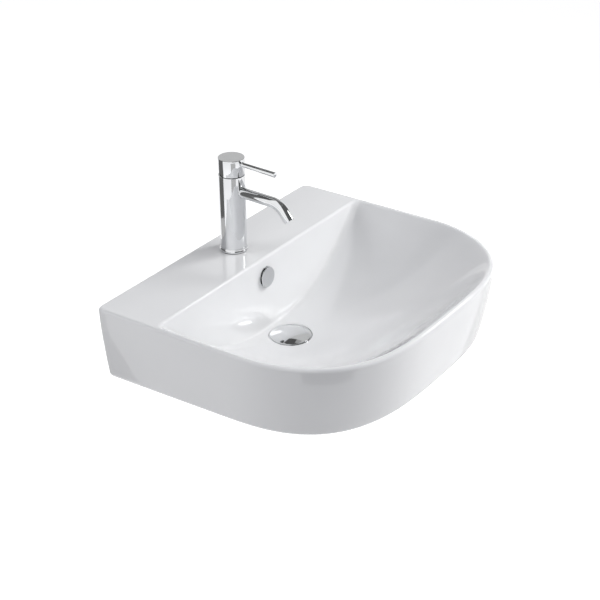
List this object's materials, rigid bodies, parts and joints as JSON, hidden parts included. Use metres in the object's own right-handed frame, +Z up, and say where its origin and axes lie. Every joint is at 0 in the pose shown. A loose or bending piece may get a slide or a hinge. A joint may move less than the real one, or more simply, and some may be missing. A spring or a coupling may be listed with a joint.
{
  "type": "wall-hung basin",
  "caption": "Wall-hung ceramic basin with a flat tap ledge, a single-lever mixer tap, a disc overflow cover and a domed push-type waste plug.",
  "frame": {"origin": "midway between the two wall holes, on the back face", "axes": "+Y into the wall, +X to the right seen from the front, +Z up; the front of the basin faces -Y"},
  "size_m": [0.55, 0.45, 0.3601],
  "materials": {
    "glaze": "white gloss glaze",
    "chrome": "polished chrome plate",
    "brass": "machined",
    "steel": "bright zinc or stainless",
    "rubber": "matt black",
    "nylon": "natural nylon"
  },
  "bodies": {
    "basin": {"basin_body": "glaze", "fixing_bushes": "nylon", "fixing_washers": "steel", "fixing_nuts": "steel", "overflow_ring": "chrome", "overflow_disc": "chrome", "overflow_stem": "steel", "waste_body": "chrome", "waste_upper_seal": "rubber", "waste_lower_seal": "rubber", "waste_slip_washer": "nylon", "waste_backnut": "brass", "click_sleeve": "brass", "click_spring": "steel", "tap_base_seal": "rubber", "tap_base_ring": "chrome", "tap_body": "chrome", "spout": "chrome", "spout_oring": "rubber", "aerator_housing": "nylon", "aerator_screen": "steel", "cartridge_body": "nylon", "cartridge_seals": "rubber", "retaining_nut": "brass", "glide_ring": "rubber", "fixing_stud": "steel", "deck_gasket": "rubber", "horseshoe_washer": "steel", "deck_nut": "brass"},
    "swing": {"cartridge_driver": "nylon", "pivot_pin": "steel"},
    "lift": {"spindle": "brass", "handle_head": "chrome", "lever_rod": "chrome", "grub_screw": "steel", "grub_cover": "chrome"},
    "plug": {"plug_cap": "chrome", "plug_seal": "rubber", "plug_stem": "brass", "click_latch": "nylon"}
  },
  "joints": [
    {"name": "handle_swing", "type": "hinge", "parent": "basin", "child": "swing", "pos_m": [0, -0.0525, 0.1916], "axis": [0, 0, 1], "range_deg": [-45, 45]},
    {"name": "handle_lift", "type": "hinge", "parent": "swing", "child": "lift", "pos_m": [0, -0.0525, 0.1916], "axis": [-1, 0, 0], "range_deg": [0, 24]},
    {"name": "plug_lift", "type": "slide", "parent": "basin", "child": "plug", "axis": [0, 0, 1], "range_m": [0, 0.008], "deforming": ["click_spring"]}
  ]
}
